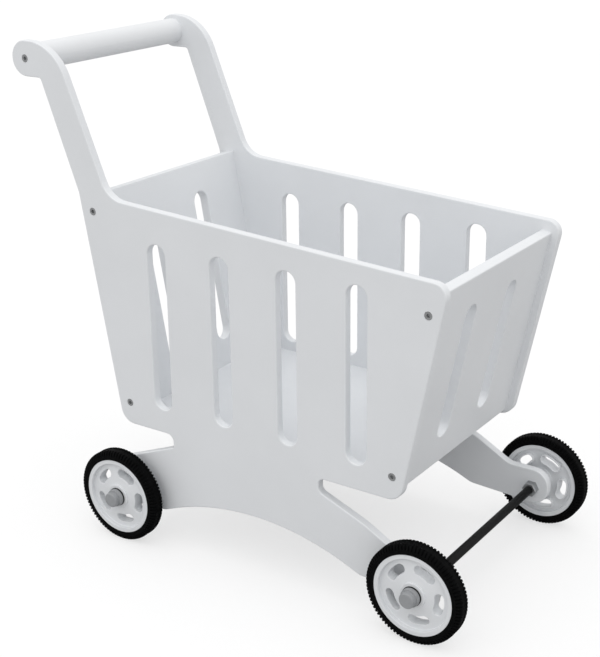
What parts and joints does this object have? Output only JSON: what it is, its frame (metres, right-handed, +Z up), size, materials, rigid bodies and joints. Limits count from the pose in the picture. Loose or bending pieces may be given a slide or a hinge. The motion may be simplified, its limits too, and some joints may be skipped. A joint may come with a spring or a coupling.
{
  "type": "toy shopping cart",
  "caption": "Child's push-along shopping cart: slotted wooden basket on arched side boards, round handle bar and rubber-tyred wheels on fixed axles.",
  "frame": {"origin": "on the ground under the middle of the cart's bounding box", "axes": "+X the way the cart is pushed, handle at -X; +Y the pusher's left, along the axles and handle bar; +Z up"},
  "size_m": [0.5286, 0.3088, 0.5102],
  "materials": {
    "painted_board": "satin off-white paint",
    "painted_bar": "satin off-white paint",
    "bare_wood": "bare",
    "black_steel": "blackened",
    "zinc_steel": "zinc plated",
    "grey_plastic": "matte",
    "cap_grey": "satin",
    "hub_plastic": "satin",
    "bush_plastic": "matte",
    "tyre": "matte rubber"
  },
  "bodies": {
    "cart": {"side_board_right": "painted_board", "side_board_left": "painted_board", "rear_board": "painted_board", "front_board": "painted_board", "floor_board": "painted_board", "floor_dowels": "bare_wood", "handle_bar": "painted_bar", "handle_screws": "zinc_steel", "rear_board_screws": "zinc_steel", "front_board_screws": "zinc_steel", "front_axle": "black_steel", "front_axle_nuts": "zinc_steel", "front_axle_spacers": "grey_plastic", "front_axle_washers": "black_steel", "front_axle_caps": "cap_grey", "rear_axle": "black_steel", "rear_axle_nuts": "zinc_steel", "rear_axle_spacers": "grey_plastic", "rear_axle_washers": "black_steel", "rear_axle_caps": "cap_grey"},
    "front_right_wheel": {"front_right_hub": "hub_plastic", "front_right_tyre": "tyre", "front_right_bush": "bush_plastic"},
    "front_left_wheel": {"front_left_hub": "hub_plastic", "front_left_tyre": "tyre", "front_left_bush": "bush_plastic"},
    "rear_right_wheel": {"rear_right_hub": "hub_plastic", "rear_right_tyre": "tyre", "rear_right_bush": "bush_plastic"},
    "rear_left_wheel": {"rear_left_hub": "hub_plastic", "rear_left_tyre": "tyre", "rear_left_bush": "bush_plastic"}
  },
  "joints": [
    {"name": "front_right_wheel_spin", "type": "hinge", "parent": "cart", "child": "front_right_wheel", "pos_m": [0.21427, -0.1355, 0.05], "axis": [0, 1, 0], "continuous": true},
    {"name": "front_left_wheel_spin", "type": "hinge", "parent": "cart", "child": "front_left_wheel", "pos_m": [0.21427, 0.1355, 0.05], "axis": [0, 1, 0], "continuous": true},
    {"name": "rear_right_wheel_spin", "type": "hinge", "parent": "cart", "child": "rear_right_wheel", "pos_m": [-0.13893, -0.1355, 0.05], "axis": [0, 1, 0], "continuous": true},
    {"name": "rear_left_wheel_spin", "type": "hinge", "parent": "cart", "child": "rear_left_wheel", "pos_m": [-0.13893, 0.1355, 0.05], "axis": [0, 1, 0], "continuous": true}
  ]
}
